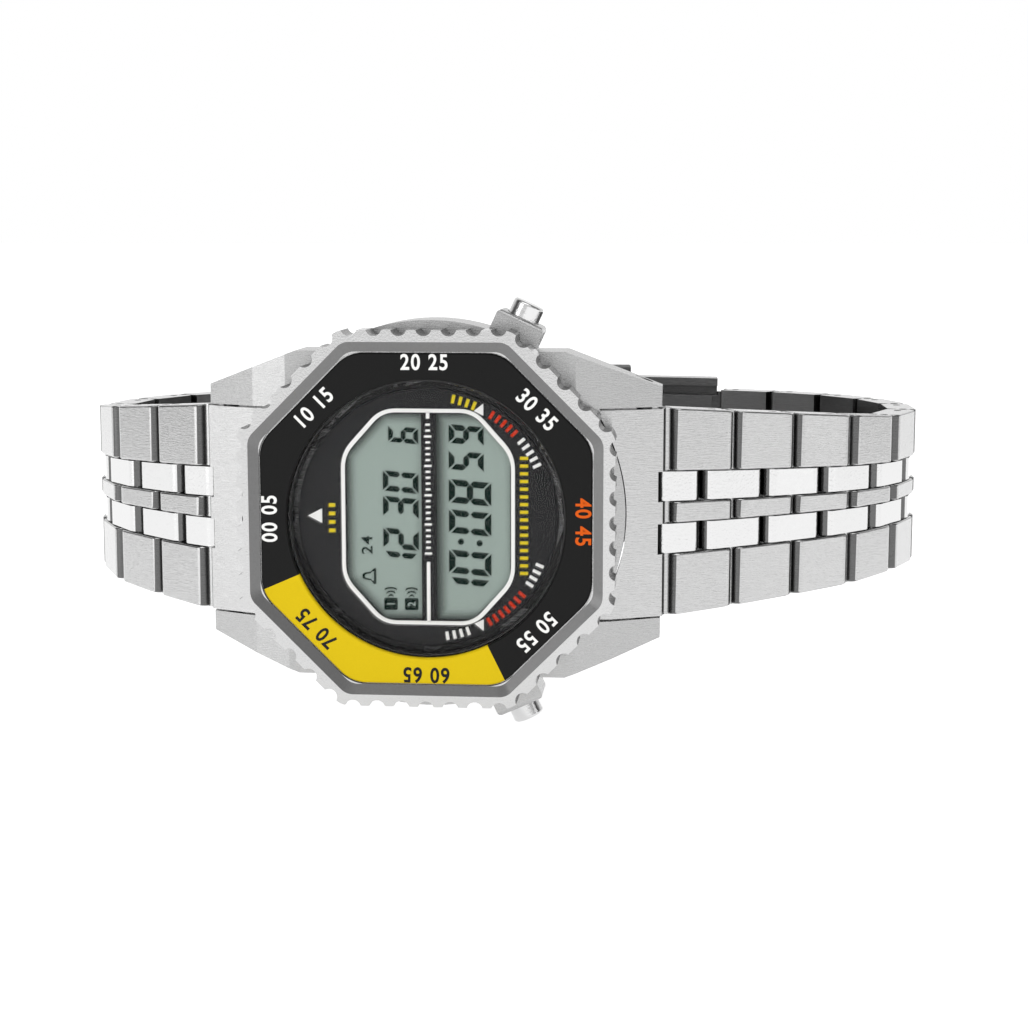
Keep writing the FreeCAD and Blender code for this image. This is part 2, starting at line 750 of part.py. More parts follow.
def make_clasp_bar():
    reach = width_at_clasp / 2 - 0.2
    return rod_y(clasp_chord, 0, bar_radius, -reach, reach)


def make_clasp_button(side):
    half = clasp_width / 2
    pad = button_block(0, blade_width / 2 + fit_clearance + button_travel, half + button_proud)
    edges = [edge for edge in pad.Edges if edge.BoundBox.YMin > half + button_proud - 1e-3]
    pad = pad.makeFillet(0.4, edges)
    return pad if side > 0 else pad.mirror(origin, axis_y)


def make_fold_pins():
    near = rod_y(near_fold_x, near_fold_z, fold_pin_radius, -middle_width / 2 - 1.4, middle_width / 2 + 1.4)
    far = rod_y(far_fold_x, far_fold_z, fold_pin_radius, -blade_width / 2, blade_width / 2)
    return near, far


def place_clasp(piece):
    return moved(turned(piece, axis_y, clasp_slope), start_6[0], 0, start_6[1])


# ---- Build ------------------------------------------------------------------

def build_head():
    save("case_middle", make_case_middle())
    save("case_back", make_case_back())
    gasket_low = back_thickness
    save("case_back_gasket", ring(module_radius, module_radius - 0.8, gasket_low, gasket_low + 0.6))
    save("bezel_ring", make_bezel_ring())
    save("bezel_insert", make_bezel_insert())
    save("bezel_click_spring", make_click_spring())
    crystal_low = crystal_top - crystal_thickness
    save("crystal", disc(crystal_radius, crystal_low, crystal_top))
    save("crystal_gasket", ring(crystal_radius + gasket_wall, crystal_radius, crystal_low, neck_top))
    save("dial_mask", make_dial_mask())
    save("lcd_panel", make_lcd_panel())
    save("lcd_connectors", make_lcd_connectors())
    save("backlight_panel", make_backlight())
    save("module_frame", make_module_frame())
    save("circuit_board", make_circuit_board())
    save("battery", make_battery())
    save("battery_clip", make_battery_clip())
    save("buzzer_disc", disc(9.0, back_thickness - 0.4, back_thickness - 0.15))
    save("pusher_4", make_pusher(1))
    save("pusher_8", make_pusher(-1))
    save("pusher_tubes", [make_pusher_tube(1), make_pusher_tube(-1)])
    save("spring_bars", make_spring_bars())


def bends(slopes, last):
    """Angle turned at each pivot, from the end link to the clasp."""
    line = [end_link_slope] + slopes + [last]
    return [line[step + 1] - line[step] for step in range(len(line) - 1)]


def build_side(name, slopes, last, to_12):
    places = pivots(slopes)
    turns = bends(slopes, last)
    save("end_link_" + name, make_end_link(turns[0], to_12))
    for index, slope in enumerate(slopes):
        reach = short_mid if index == link_count - 1 else mid_reach
        link = make_link(index, turns[index + 1], reach)
        if to_12 and index == link_count - 1:
            link = open_ended(link)
        save("link_%s_%02d" % (name, index + 1), place(link, places[index], slope, to_12))


def build_clasp():
    near_pin, far_pin = make_fold_pins()
    save("clasp_inner_blade", [place_clasp(make_inner_blade()), place_clasp(far_pin)])
    save("clasp_middle_blade", [place_clasp(make_middle_blade()), place_clasp(near_pin)])
    save("clasp_cover", [place_clasp(make_clasp_cover()), place_clasp(make_clasp_bar())])
    save("clasp_button_3", place_clasp(make_clasp_button(1)))
    save("clasp_button_9", place_clasp(make_clasp_button(-1)))


def main():
    os.makedirs("parts", exist_ok=True)
    build_head()
    build_side("6", slopes_6, clasp_slope, False)
    build_side("12", slopes_12, slopes_12[-1], True)
    build_clasp()


main()
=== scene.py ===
import json
import math
import bmesh
import bpy
from mathutils import Matrix, Vector


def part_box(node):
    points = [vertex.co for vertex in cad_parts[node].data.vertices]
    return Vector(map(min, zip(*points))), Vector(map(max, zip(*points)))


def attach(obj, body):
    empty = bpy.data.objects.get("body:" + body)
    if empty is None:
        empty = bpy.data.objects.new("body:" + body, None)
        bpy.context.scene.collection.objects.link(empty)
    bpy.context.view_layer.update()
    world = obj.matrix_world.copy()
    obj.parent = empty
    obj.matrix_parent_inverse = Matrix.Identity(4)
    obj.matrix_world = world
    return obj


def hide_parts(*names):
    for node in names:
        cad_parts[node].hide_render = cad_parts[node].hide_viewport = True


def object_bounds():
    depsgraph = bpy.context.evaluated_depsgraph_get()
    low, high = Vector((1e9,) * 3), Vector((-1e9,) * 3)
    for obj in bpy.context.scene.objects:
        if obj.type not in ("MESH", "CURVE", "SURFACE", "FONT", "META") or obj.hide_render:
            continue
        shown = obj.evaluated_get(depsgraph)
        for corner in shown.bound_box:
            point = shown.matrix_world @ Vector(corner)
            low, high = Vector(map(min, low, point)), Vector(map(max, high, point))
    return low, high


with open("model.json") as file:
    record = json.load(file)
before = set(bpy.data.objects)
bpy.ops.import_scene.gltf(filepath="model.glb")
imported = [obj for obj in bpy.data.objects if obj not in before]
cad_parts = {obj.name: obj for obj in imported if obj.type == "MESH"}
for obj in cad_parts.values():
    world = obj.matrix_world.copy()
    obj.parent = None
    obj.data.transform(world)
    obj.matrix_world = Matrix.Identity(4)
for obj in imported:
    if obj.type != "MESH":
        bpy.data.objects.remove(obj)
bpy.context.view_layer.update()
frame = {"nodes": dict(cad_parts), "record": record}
mm = 0.001

# The watch stands on its 9 o'clock side: X from 12 to 6 o'clock, -Y out of the dial, Z to 3 o'clock.
# Plan places on the dial are (x, z) in millimetres from its centre, height is measured out of the dial.
insertTop = -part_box("bezel_insert")[0].y / mm
dialTop = -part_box("dial_mask")[0].y / mm
lcdTop = -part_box("lcd_panel")[0].y / mm


def onDial(x, z, height):
    return Vector((x * mm, -height * mm, z * mm))


def addMesh(name, points, faces, material, body, smooth=False):
    mesh = bpy.data.meshes.new(name)
    mesh.from_pydata([tuple(p) for p in points], [], faces)
    mesh.validate()
    bm = bmesh.new()
    bm.from_mesh(mesh)
    bmesh.ops.recalc_face_normals(bm, faces=bm.faces)
    bm.to_mesh(mesh)
    bm.free()
    mesh.polygons.foreach_set("use_smooth", [smooth] * len(mesh.polygons))
    mesh.materials.append(material)
    obj = bpy.data.objects.new(name, mesh)
    bpy.context.scene.collection.objects.link(obj)
    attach(obj, body)
    return obj


def addSlabs(name, outlines, low, high, material, body):
    # each outline is a closed list of (x, z) places; together they make one piece of even thickness
    points, faces = [], []
    for outline in outlines:
        start, count = len(points), len(outline)
        points += [onDial(x, z, low) for x, z in outline]
        points += [onDial(x, z, high) for x, z in outline]
        faces.append(list(range(start, start + count)))
        faces.append(list(range(start + 2 * count - 1, start + count - 1, -1)))
        for i in range(count):
            j = (i + 1) % count
            faces.append([start + i, start + j, start + count + j, start + count + i])
    return addMesh(name, points, faces, material, body)


def addBand(name, outer, inner, low, high, material, body, closed=True):
    # a flat band between two matching outlines, in the order low outer, low inner, high outer, high inner
    count = len(outer)
    points = [onDial(x, z, h) for h in (low, high) for line in (outer, inner) for x, z in line]
    top = 2 * count
    faces = []
    for i in range(count if closed else count - 1):
        j = (i + 1) % count
        insideI, insideJ = count + i, count + j
        faces.append([i, j, insideJ, insideI])
        faces.append([top + i, top + insideI, top + insideJ, top + j])
        faces.append([i, top + i, top + j, j])
        faces.append([insideI, insideJ, top + insideJ, top + insideI])
    if not closed:
        last = count - 1
        faces.append([0, count, top + count, top])
        faces.append([last, top + last, top + count + last, count + last])
    return addMesh(name, points, faces, material, body)


def roundedOutline(corners, radius, steps=6):
    # rounds each corner of a closed outline with an arc-like curve
    line = []
    count = len(corners)
    for i in range(count):
        before, here, after = (Vector(corners[k % count]) for k in (i - 1, i, i + 1))
        reachA = min(radius, (before - here).length * 0.45)
        reachB = min(radius, (after - here).length * 0.45)
        start = here + (before - here).normalized() * reachA
        end = here + (after - here).normalized() * reachB
        for s in range(steps + 1):
            t = s / steps
            line.append(tuple(start * (1 - t) ** 2 + here * 2 * t * (1 - t) + end * t ** 2))
    return line


def cutRectangle(halfX, halfZ, cutX, cutZ):
    return [(halfX, -halfZ + cutZ), (halfX, halfZ - cutZ), (halfX - cutX, halfZ), (-halfX + cutX, halfZ),
            (-halfX, halfZ - cutZ), (-halfX, -halfZ + cutZ), (-halfX + cutX, -halfZ), (halfX - cutX, -halfZ)]


def atAngle(radius, angle):
    # a plan place at a distance from the centre, turned from 6 o'clock towards 3
    return (radius * math.cos(math.radians(angle)), radius * math.sin(math.radians(angle)))


def circle(radius, count):
    return [atAngle(radius, 360.0 * i / count) for i in range(count)]


def newMaterial(name):
    material = bpy.data.materials.new(name)
    material.use_nodes = True
    nodes = material.node_tree.nodes
    return material, nodes, material.node_tree.links, nodes["Principled BSDF"]


def makeBrushGroup():
    # fine lines left by a brushing belt: stretched noise in object space
    group = bpy.data.node_groups.new("brushLines", "ShaderNodeTree")
    for label, value in (("Stretch X", 1.0), ("Stretch Y", 1.0), ("Stretch Z", 1.0), ("Contrast", 0.1),
                         ("Shade", 0.6), ("Rough", 0.3)):
        socket = group.interface.new_socket(label, in_out="INPUT", socket_type="NodeSocketFloat")
        socket.default_value = value
    group.interface.new_socket("Color", in_out="OUTPUT", socket_type="NodeSocketColor")
    for label in ("Roughness", "Height"):
        group.interface.new_socket(label, in_out="OUTPUT", socket_type="NodeSocketFloat")
    nodes, links = group.nodes, group.links
    source = nodes.new("NodeGroupInput")
    sink = nodes.new("NodeGroupOutput")
    coords = nodes.new("ShaderNodeTexCoord")
    stretch = nodes.new("ShaderNodeCombineXYZ")
    for axis in "XYZ":
        links.new(source.outputs["Stretch " + axis], stretch.inputs[axis])
    scaled = nodes.new("ShaderNodeVectorMath")
    scaled.operation = "MULTIPLY"
    links.new(coords.outputs["Object"], scaled.inputs[0])
    links.new(stretch.outputs["Vector"], scaled.inputs[1])
    fine = nodes.new("ShaderNodeTexNoise")
    fine.inputs["Scale"].default_value = 1.0
    fine.inputs["Detail"].default_value = 5.0
    fine.inputs["Roughness"].default_value = 0.62
    links.new(scaled.outputs["Vector"], fine.inputs["Vector"])
    spread = nodes.new("ShaderNodeMapRange")
    spread.inputs["From Min"].default_value = 0.3
    spread.inputs["From Max"].default_value = 0.7
    spread.inputs["To Min"].default_value = -1.0
    spread.inputs["To Max"].default_value = 1.0
    links.new(fine.outputs["Fac"], spread.inputs["Value"])
    swing = nodes.new("ShaderNodeMath")
    swing.operation = "MULTIPLY"
    links.new(spread.outputs["Result"], swing.inputs[0])
    links.new(source.outputs["Contrast"], swing.inputs[1])
    shade = nodes.new("ShaderNodeMath")
    links.new(source.outputs["Shade"], shade.inputs[0])
    links.new(swing.outputs["Value"], shade.inputs[1])
    links.new(shade.outputs["Value"], sink.inputs["Color"])
    rough = nodes.new("ShaderNodeMath")
    links.new(source.outputs["Rough"], rough.inputs[0])
    links.new(swing.outputs["Value"], rough.inputs[1])
    links.new(rough.outputs["Value"], sink.inputs["Roughness"])
    links.new(spread.outputs["Result"], sink.inputs["Height"])
    return group


brushGroup = makeBrushGroup()


brush = dict(strength=0.25, depth=0.02)


def makeSteel(name, shade, rough, stretch, contrast):
    material, nodes, links, bsdf = newMaterial(name)
    lines = nodes.new("ShaderNodeGroup")
    lines.node_tree = brushGroup
    for label, value in zip(("Stretch X", "Stretch Y", "Stretch Z"), stretch):
        lines.inputs[label].default_value = value
    lines.inputs["Contrast"].default_value = contrast
    lines.inputs["Shade"].default_value = shade
    lines.inputs["Rough"].default_value = rough
    relief = nodes.new("ShaderNodeBump")
    relief.inputs["Strength"].default_value = brush["strength"]
    relief.inputs["Distance"].default_value = brush["depth"] * mm
    links.new(lines.outputs["Height"], relief.inputs["Height"])
    links.new(relief.outputs["Normal"], bsdf.inputs["Normal"])
    links.new(lines.outputs["Color"], bsdf.inputs["Base Color"])
    links.new(lines.outputs["Roughness"], bsdf.inputs["Roughness"])
    bsdf.inputs["Metallic"].default_value = 1.0
    return material


def makePlain(name, color, rough, metallic=0.0, grain=0.0, grainScale=9000.0, shine=0.5):
    material, nodes, links, bsdf = newMaterial(name)
    noise = nodes.new("ShaderNodeTexNoise")
    coords = nodes.new("ShaderNodeTexCoord")
    links.new(coords.outputs["Object"], noise.inputs["Vector"])
    noise.inputs["Scale"].default_value = grainScale
    noise.inputs["Detail"].default_value = 3.0
    ramp = nodes.new("ShaderNodeMix")
    ramp.data_type = "RGBA"
    ramp.inputs["A"].default_value = [c * (1 - grain) for c in color] + [1]
    ramp.inputs["B"].default_value = [min(1, c * (1 + grain)) for c in color] + [1]
    links.new(noise.outputs["Fac"], ramp.inputs["Factor"])
    links.new(ramp.outputs["Result"], bsdf.inputs["Base Color"])
    bsdf.inputs["Roughness"].default_value = rough
    bsdf.inputs["Metallic"].default_value = metallic
    bsdf.inputs["Specular IOR Level"].default_value = shine
    return material


def makeLcd(name, color, rough, shine, shadow):
    # painted shadow: the field's colour darkens under the edges of the window and beside the divider
    material, nodes, links, bsdf = newMaterial(name)
    coords = nodes.new("ShaderNodeTexCoord")
    split = nodes.new("ShaderNodeSeparateXYZ")
    links.new(coords.outputs["Object"], split.inputs["Vector"])

    def combine(operation, first, second):
        node = nodes.new("ShaderNodeMath")
        node.operation = operation
        for socket, value in zip(node.inputs, (first, second)):
            if isinstance(value, float):
                socket.default_value = value
            else:
                links.new(value, socket)
        return node.outputs["Value"]

    x = split.outputs["X"]
    z = combine("ABSOLUTE", split.outputs["Z"], 0.0)
    left = combine("ADD", x, shadow["halfX"] * mm)
    end = combine("SUBTRACT", shadow["halfZ"] * mm, z)
    acrossX = combine("MULTIPLY", left, shadow["cornerX"])
    acrossZ = combine("MULTIPLY", end, shadow["cornerZ"])
    corner = combine("SUBTRACT", combine("ADD", acrossX, acrossZ), shadow["corner"] * mm)
    # the lower field starts at the divider, and the upper field is a metre away from its edge
    beside = combine("ADD", combine("LESS_THAN", x, 0.0), combine("SUBTRACT", x, shadow["bar"] * mm))
    nearest = combine("MINIMUM", combine("MINIMUM", left, end), combine("MINIMUM", corner, beside))
    fade = nodes.new("ShaderNodeMapRange")
    fade.interpolation_type = "SMOOTHSTEP"
    fade.inputs["From Max"].default_value = shadow["width"] * mm
    links.new(nearest, fade.inputs["Value"])
    mix = nodes.new("ShaderNodeMix")
    mix.data_type = "RGBA"
    mix.inputs["A"].default_value = [c * shadow["depth"] for c in color] + [1]
    mix.inputs["B"].default_value = list(color) + [1]
    links.new(fade.outputs["Result"], mix.inputs["Factor"])
    links.new(mix.outputs["Result"], bsdf.inputs["Base Color"])
    bsdf.inputs["Roughness"].default_value = rough
    bsdf.inputs["Specular IOR Level"].default_value = shine
    return material


def makeGlass():
    material, nodes, links, bsdf = newMaterial("crystalGlass")
    bsdf.inputs["Base Color"].default_value = (1, 1, 1, 1)
    bsdf.inputs["Roughness"].default_value = 0.02
    bsdf.inputs["Transmission Weight"].default_value = 1.0
    bsdf.inputs["IOR"].default_value = 1.5
    bsdf.inputs["Alpha"].default_value = 0.12
    return material


finish = {
    "caseSteel": dict(shade=0.42, rough=0.27, stretch=(1500, 1500, 16000), contrast=0.022),
    "bezelSteel": dict(shade=0.52, rough=0.16, stretch=(6000, 6000, 6000), contrast=0.012),
    # painted shade: a darker copy of the bezel's steel for its slope
    "slopeSteelPaintedShade": dict(shade=0.17, rough=0.32, stretch=(6000, 6000, 6000), contrast=0.01),
    "linkSteel": dict(shade=0.49, rough=0.18, stretch=(900, 900, 16000), contrast=0.022),
    "mirrorSteel": dict(shade=0.62, rough=0.06, stretch=(4000, 4000, 4000), contrast=0.004),
    # painted shade: a darker copy of the bezel's steel for the walls of the flutes
    "fluteSteelPaintedShade": dict(shade=0.14, rough=0.25, stretch=(6000, 6000, 6000), contrast=0.01),
    # painted shade: darker copies of the steel for the rounded ends of links and for faces towards the wrist
    "linkEndPaintedShade": dict(shade=0.12, rough=0.22, stretch=(900, 900, 16000), contrast=0.01),
    "mirrorEndPaintedShade": dict(shade=0.12, rough=0.08, stretch=(4000, 4000, 4000), contrast=0.004),
    "innerSteelPaintedShade": dict(shade=0.14, rough=0.30, stretch=(900, 900, 16000), contrast=0.02),
}
steel = {name: makeSteel(name, **values) for name, values in finish.items()}
insertBlack = makePlain("insertBlack", (0.009, 0.009, 0.009), 0.45, grain=0.12, shine=0.1)
insertYellow = makePlain("insertYellow", (0.66, 0.475, 0.004), 0.45, grain=0.04, shine=0.1)
dialBlack = makePlain("dialBlack", (0.010, 0.010, 0.011), 0.4, grain=0.1, shine=0.12)
glossBlack = makePlain("glossBlack", (0.005, 0.005, 0.005), 0.25, grain=0.1, shine=0.2)
# the window's half sizes, the lie of its cut corners, the divider's edge, and how wide and dark the painted
# shadow is
windowShadow = dict(halfX=7.95, halfZ=9.95, cornerX=0.746, cornerZ=0.666, corner=2.7, bar=0.72, width=1.45,
                    depth=0.2)
lcdField = makeLcd("lcdField", (0.275, 0.335, 0.305), 0.5, 0.12, windowShadow)
lcdSegment = makePlain("lcdSegment", (0.003, 0.011, 0.008), 0.6, grain=0.05, shine=0.03)
lcdLight = makePlain("lcdLight", (0.30, 0.36, 0.33), 0.5, shine=0.1)
printWhite = makePlain("printWhite", (0.82, 0.82, 0.80), 0.5, grain=0.02)
printYellow = makePlain("printYellow", (0.66, 0.52, 0.012), 0.5, grain=0.02, shine=0.1)
printRed = makePlain("printRed", (0.55, 0.03, 0.006), 0.5, grain=0.02, shine=0.1)
printOrange = makePlain("printOrange", (0.66, 0.10, 0.006), 0.5, grain=0.02, shine=0.1)
rubberBlack = makePlain("rubberBlack", (0.02, 0.02, 0.02), 0.6, grain=0.1)
whitePlastic = makePlain("whitePlastic", (0.7, 0.7, 0.68), 0.5, grain=0.02)
greyPlastic = makePlain("greyPlastic", (0.06, 0.06, 0.065), 0.5, grain=0.05)
boardGreen = makePlain("boardGreen", (0.01, 0.09, 0.03), 0.45, grain=0.1)
brassPlain = makePlain("brassPlain", (0.6, 0.42, 0.15), 0.3, metallic=1.0, grain=0.05)
crystalGlass = makeGlass()

slotMaterial = {
    "case_steel": steel["caseSteel"], "bezel_steel": steel["bezelSteel"], "link_steel": steel["linkSteel"],
    "polished_steel": steel["mirrorSteel"], "inner_steel": steel["innerSteelPaintedShade"],
    "insert_black": insertBlack, "dial_black": dialBlack, "lcd_green": lcdField, "glass_clear": crystalGlass,
    "white_plastic": whitePlastic, "grey_plastic": greyPlastic, "board_green": boardGreen,
    "rubber_black": rubberBlack, "brass_plain": brassPlain,
}


def dressNodes():
    for part in frame["record"]["subparts"]:
        obj = frame["nodes"][part["node"]]
        obj.data.materials.clear()
        obj.data.materials.append(slotMaterial[part["material_slot"]])
        obj.data.polygons.foreach_set("material_index", [0] * len(obj.data.polygons))


def islandsOf(mesh):
    # groups the polygons of a mesh into its separate solids, joined by shared places
    owner = {}

    def find(key):
        while owner.setdefault(key, key) != key:
            owner[key] = owner[owner[key]]
            key = owner[key]
        return key

    keys = [tuple(round(c * 1e7) for c in v.co) for v in mesh.vertices]
    for polygon in mesh.polygons:
        first = find(keys[polygon.vertices[0]])
        for vertex in polygon.vertices[1:]:
            other = find(keys[vertex])
            if other != first:
                owner[other] = first
    groups = {}
    for polygon in mesh.polygons:
        groups.setdefault(find(keys[polygon.vertices[0]]), []).append(polygon.index)
    return list(groups.values())


# the middle of the wrist, how far a face may lean before it counts as an end, and where the polished rows lie
bracelet = dict(wristX=3.0, wristY=20.0, outward=0.5, inward=0.6, sideways=0.5, endLean=27.0, midEndLean=38.0,
                midLow=0.13, midHigh=0.4, midWidth=0.5)


def awayFromWrist(polygon):
    return Vector((polygon.center.x - bracelet["wristX"] * mm, polygon.center.y - bracelet["wristY"] * mm, 0))


def dressIsland(mesh, island, plain, end, paintedShadeInside, lean):
    # flat outer faces keep the plain finish; rounded ends and faces towards the wrist get darker copies of the
    # steel, painted shade
    facing = {p: mesh.polygons[p].normal.dot(awayFromWrist(mesh.polygons[p]).normalized()) for p in island}
    outer = [p for p in island if facing[p] > bracelet["outward"]]
    if not outer:
        return
    flat = mesh.polygons[max(outer, key=lambda p: mesh.polygons[p].area)].normal.copy()
    leanLimit = math.cos(math.radians(lean))
    for p in island:
        polygon = mesh.polygons[p]
        # painted shade: faces towards the wrist take a darker copy of the steel
        if facing[p] < -bracelet["inward"]:
            polygon.material_index = paintedShadeInside
        # painted shade: rounded ends take a dark copy of the steel
        elif abs(polygon.normal.z) < bracelet["sideways"] and polygon.normal.dot(flat) < leanLimit:
            polygon.material_index = end
        else:
            polygon.material_index = plain


def dressBracelet():
    # the two rows beside the centre row are mirror polished
    # painted shade: besides the polished finish, these are darker copies of the steel for faces towards the
    # wrist and rounded ends
    extras = ("mirrorSteel", "innerSteelPaintedShade", "linkEndPaintedShade", "mirrorEndPaintedShade")
    slots = {name: extras.index(name) + 1 for name in extras}
    plain, mirror, paintedShadeInside = 0, slots["mirrorSteel"], slots["innerSteelPaintedShade"]
    for name, obj in frame["nodes"].items():
        if not name.startswith(("link_", "end_link_", "clasp_")):
            continue
        mesh = obj.data
        for extra in extras:
            mesh.materials.append(steel[extra])
        half = max(abs(v.co.z) for v in mesh.vertices)
        for island in islandsOf(mesh):
            heights = [mesh.vertices[v].co.z for p in island for v in mesh.polygons[p].vertices]
            low, high = min(heights), max(heights)
            middle = abs(low + high) / 2
            isMid = half * bracelet["midLow"] < middle < half * bracelet["midHigh"] \
                and high - low < half * bracelet["midWidth"]
            if name.startswith("clasp_"):
                dressIsland(mesh, island, plain, plain, paintedShadeInside, bracelet["endLean"])
            elif isMid:
                dressIsland(mesh, island, mirror, slots["mirrorEndPaintedShade"], paintedShadeInside, bracelet["midEndLean"])
            else:
                dressIsland(mesh, island, plain, slots["linkEndPaintedShade"], paintedShadeInside, bracelet["endLean"])


# where the case has its neck, and the bezel its slope and its flutes, which get painted shade
neck = dict(radius=13.95, height=7.5)
slope = dict(flattest=0.98, steepest=0.2, below=0.1)
flute = dict(fromRadius=16.6, upright=0.5, towardsSide=0.97)


def dressCase():
    # painted shade: the steel of the neck in the gap between insert and crystal is coloured black
    case = frame["nodes"]["case_middle"].data
    case.materials.append(glossBlack)
    for polygon in case.polygons:
        spot = polygon.center
        if math.hypot(spot.x, spot.z) < neck["radius"] * mm and -spot.y > neck["height"] * mm:
            polygon.material_index = 1


def dressBezel():
    # painted shade: the slope round the insert and the walls of the flutes get darker copies of the bezel's
    # steel than its sides
    ring = frame["nodes"]["bezel_ring"].data
    ring.materials.append(steel["slopeSteelPaintedShade"])
    ring.materials.append(steel["fluteSteelPaintedShade"])
    for polygon in ring.polygons:
        spot, normal = polygon.center, polygon.normal
        nearestSide = round(math.degrees(math.atan2(spot.z, spot.x)) / 45) * 45
        sideX, sideZ = atAngle(1.0, nearestSide)
        facesCentre = normal.x * spot.x + normal.z * spot.z < 0
        isHigh = -spot.y > (insertTop - slope["below"]) * mm
        isRim = math.hypot(spot.x, spot.z) > flute["fromRadius"] * mm
        alongSide = normal.x * sideX + normal.z * sideZ
        if facesCentre and isHigh and slope["steepest"] < -normal.y < slope["flattest"]:
            polygon.material_index = 1
        elif isRim and abs(normal.y) < flute["upright"] and alongSide < flute["towardsSide"]:
            polygon.material_index = 2


print("materials on the frame")
dressNodes()
dressBracelet()
dressCase()
dressBezel()


def octagonOutline(cornerRadius, rounding, cornerAngle=24.6):
    # eight corners, the longer sides facing the four main directions, each corner rounded
    corners = []
    for main in (0, 90, 180, 270):
        for side in (-cornerAngle, cornerAngle):
            turn = math.radians(main + side)
            corners.append((cornerRadius * math.cos(turn), cornerRadius * math.sin(turn)))
    return roundedOutline(corners, rounding * math.tan(math.radians(22.5)), 8)


def reachAlong(outline, angle):
    # distance from the centre to the outline in one direction
    ray = Vector((math.cos(math.radians(angle)), math.sin(math.radians(angle))))
    for i in range(len(outline)):
        start, end = Vector(outline[i]), Vector(outline[(i + 1) % len(outline)])
        side = end - start
        across = ray.x * side.y - ray.y * side.x
        if abs(across) < 1e-12:
            continue
        reach = (start.x * side.y - start.y * side.x) / across
        share = (start.x * ray.y - start.y * ray.x) / across
        if reach > 0 and -1e-6 <= share <= 1 + 1e-6:
            return reach
    raise ValueError("no outline in that direction")


insert = dict(cornerRadius=17.0, rounding=3.5, holeRadius=13.0, thickness=0.5, edge=0.12, clearance=0.02,
              step=1.25, yellowStart=203.75, yellowEnd=296.25)


def insertSector(name, start, end, material):
    # rings run from the outer wall over the top to the wall of the hole
    count = round((end - start) / insert["step"])
    angles = [start + (end - start) * i / count for i in range(count + 1)]
    edge = insert["edge"]
    top, bottom = insertTop, insertTop - insert["thickness"]
    outline = octagonOutline(insert["cornerRadius"], insert["rounding"])
    reaches = [reachAlong(outline, angle) - insert["clearance"] for angle in angles]
    rings = []
    for inset, height in ((0.0, bottom), (0.0, top - edge), (edge, top)):
        line = [atAngle(reach - inset, angle) for reach, angle in zip(reaches, angles)]
        rings.append([onDial(x, z, height) for x, z in line])
    for inset, height in ((edge, top), (0.0, top - edge), (0.0, bottom)):
        rings.append([onDial(*atAngle(insert["holeRadius"] + inset, angle), height) for angle in angles])
    n = len(angles)
    points = [p for ring in rings for p in ring]
    faces = []
    for r in range(len(rings)):
        s = (r + 1) % len(rings)
        for i in range(n - 1):
            faces.append([r * n + i, r * n + i + 1, s * n + i + 1, s * n + i])
    faces.append([r * n for r in range(len(rings))])
    faces.append([r * n + n - 1 for r in reversed(range(len(rings)))])
    piece = addMesh(name, points, faces, material, "bezel")
    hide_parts("bezel_insert")
    return piece


print("bezel insert")
insertSector("insertBlackPlate", insert["yellowEnd"], insert["yellowStart"] + 360, insertBlack)
insertSector("insertYellowSector", insert["yellowStart"], insert["yellowEnd"], insertYellow)


printLift = 0.012
printDepth = 0.03


def addText(name, words, x, z, height, size, turn, material, body, stretch=1.0, spacing=1.0, heavy=0.0):
    # the words read along their own x, turned by an angle in the dial's plane
    curve = bpy.data.curves.new(name, "FONT")
    curve.body = words
    curve.size = size * mm
    curve.align_x = "CENTER"
    curve.align_y = "CENTER"
    curve.space_character = spacing
    curve.offset = heavy * mm
    curve.extrude = printDepth * mm / 2
    shape = bpy.data.objects.new(name + "Curve", curve)
    bpy.context.scene.collection.objects.link(shape)
    bpy.context.view_layer.update()
    mesh = bpy.data.meshes.new_from_object(shape)
    bpy.data.objects.remove(shape)
    middle = (max(v.co.y for v in mesh.vertices) + min(v.co.y for v in mesh.vertices)) / 2
    flat = Matrix.Translation((0, -middle, 0))
    squeeze = Matrix.Diagonal((stretch, 1, 1, 1))
    upright = Matrix(((1, 0, 0, 0), (0, 0, -1, 0), (0, 1, 0, 0), (0, 0, 0, 1)))
    spin = Matrix.Rotation(-math.radians(turn), 4, "Y")
    place = Matrix.Translation(onDial(x, z, height + printLift))
    mesh.transform(place @ spin @ upright @ squeeze @ flat)
    mesh.materials.clear()
    mesh.materials.append(material)
    obj = bpy.data.objects.new(name, mesh)
    bpy.context.scene.collection.objects.link(obj)
    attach(obj, body)
    return obj


label = dict(radius=14.62, size=2.0, stretch=0.86, spacing=1.15, heavy=0.045)
labels = [(180, "00 05", printWhite), (135, "10 15", printWhite), (90, "20 25", printWhite),
          (45, "30 35", printWhite), (0, "40 45", printOrange), (315, "50 55", printWhite),
          (270, "60 65", glossBlack), (225, "70 75", glossBlack)]


def addBezelLabels():
    for angle, words, material in labels:
        x, z = atAngle(label["radius"], angle)
        addText("bezelLabel" + words[:2], words, x, z, insertTop, label["size"], angle - 90, material,
                "bezel", label["stretch"], label["spacing"], label["heavy"])


print("bezel labels")
addBezelLabels()


window = dict(halfX=8.15, halfZ=10.18, cutX=3.75, cutZ=4.2, line=0.36, cutShare=0.42, outerRound=1.4,
              innerRound=1.2)
divider = dict(low=-0.60, high=0.76, end=9.9, lift=0.05, lineLow=-0.13, lineHigh=0.19,
               lines=((-9.9, -4.2), (9.26, 9.9)))
tick = dict(count=23, first=-3.5, step=0.55, width=0.2, middle=0.03, long=0.34, short=0.22, longEvery=5)
triangle = dict(tip=-11.35, back=-10.0, middle=0.05, half=0.7)
